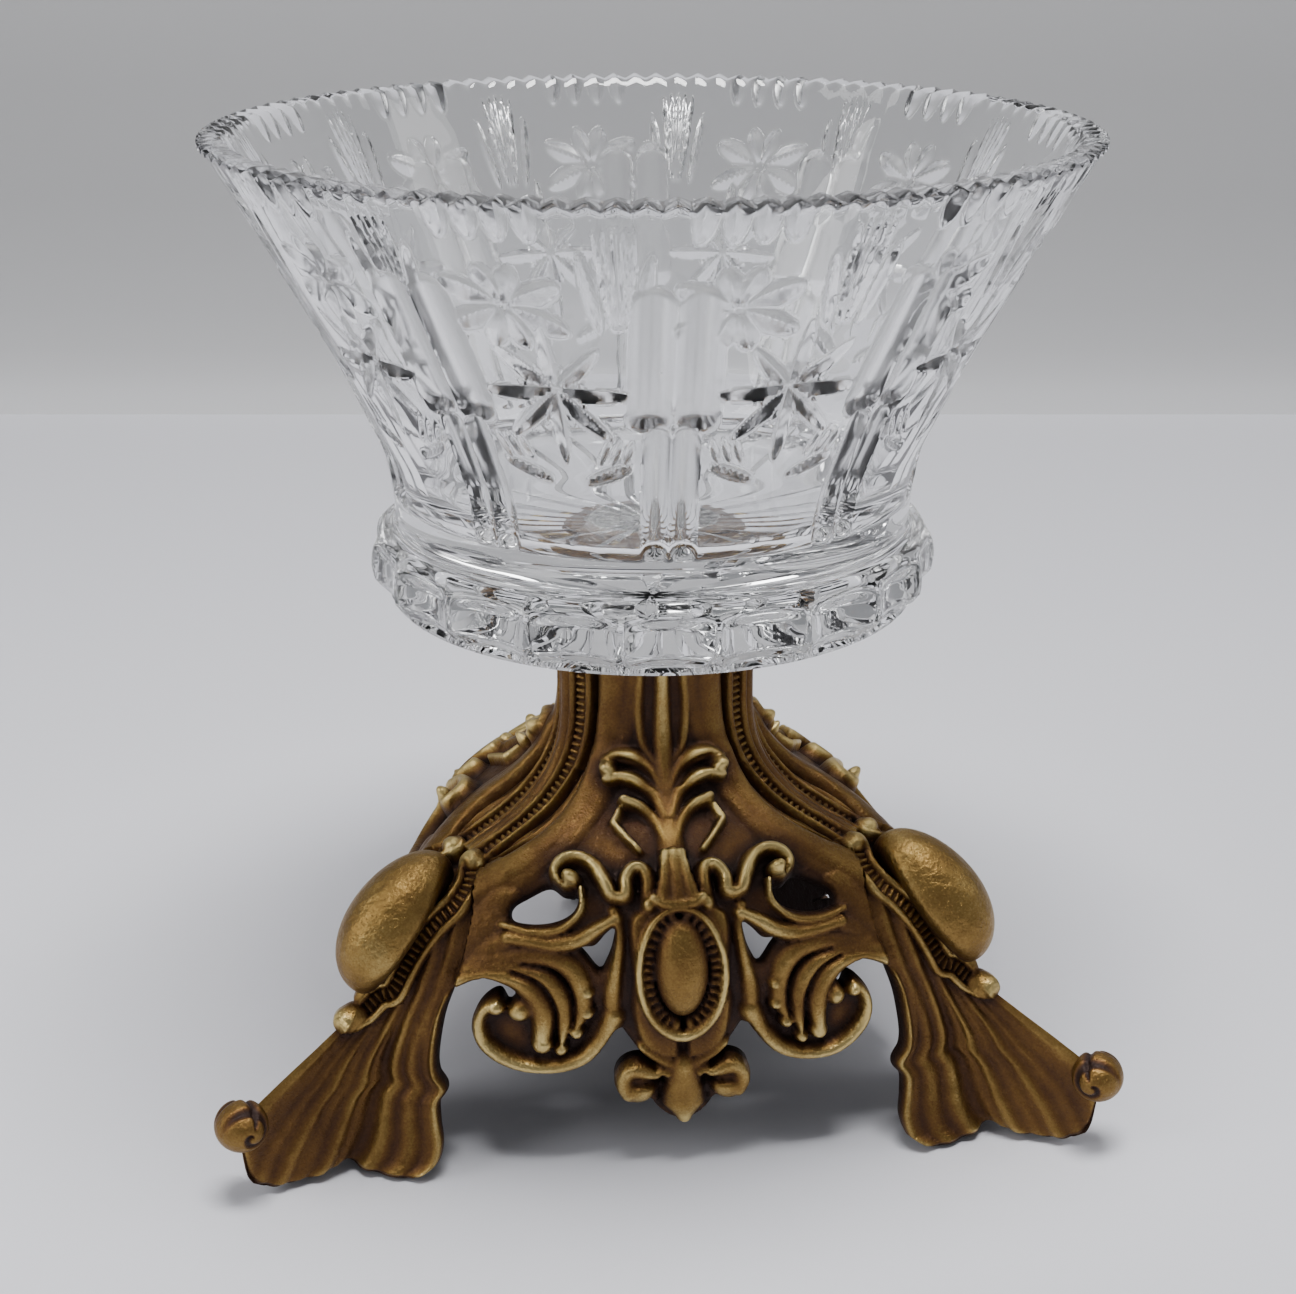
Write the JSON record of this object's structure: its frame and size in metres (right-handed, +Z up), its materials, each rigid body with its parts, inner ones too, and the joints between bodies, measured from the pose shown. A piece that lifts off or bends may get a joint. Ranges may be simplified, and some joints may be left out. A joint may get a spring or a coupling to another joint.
{
  "type": "footed crystal dish",
  "caption": "Cut-crystal open dish bonded to a pierced, antique-gilt cast metal foot with three scrolled legs.",
  "frame": {"origin": "on the table under the middle of the dish's bounds, 8.2 mm behind the bowl's vertical axis, level with the undersides of the three toes", "axes": "+Z up through the bowl; the front panel's medallion faces -Y and the third leg points to +Y; +X to the right"},
  "size_m": [0.1508, 0.1564, 0.1658],
  "materials": {
    "crystal": "wheel-cut and polished clear crystal",
    "adhesive": "clear adhesive with trapped bubbles",
    "gilt_metal": "antique gilt casting, brown patina in the recesses, worn highlights"
  },
  "bodies": {
    "root": {"crystal_bowl": "crystal", "adhesive_bed": "adhesive", "neck_cap": "gilt_metal", "panel_front": "gilt_metal", "panel_right": "gilt_metal", "panel_left": "gilt_metal", "leg_right": "gilt_metal", "leg_rear": "gilt_metal", "leg_left": "gilt_metal"}
  },
  "joints": []
}
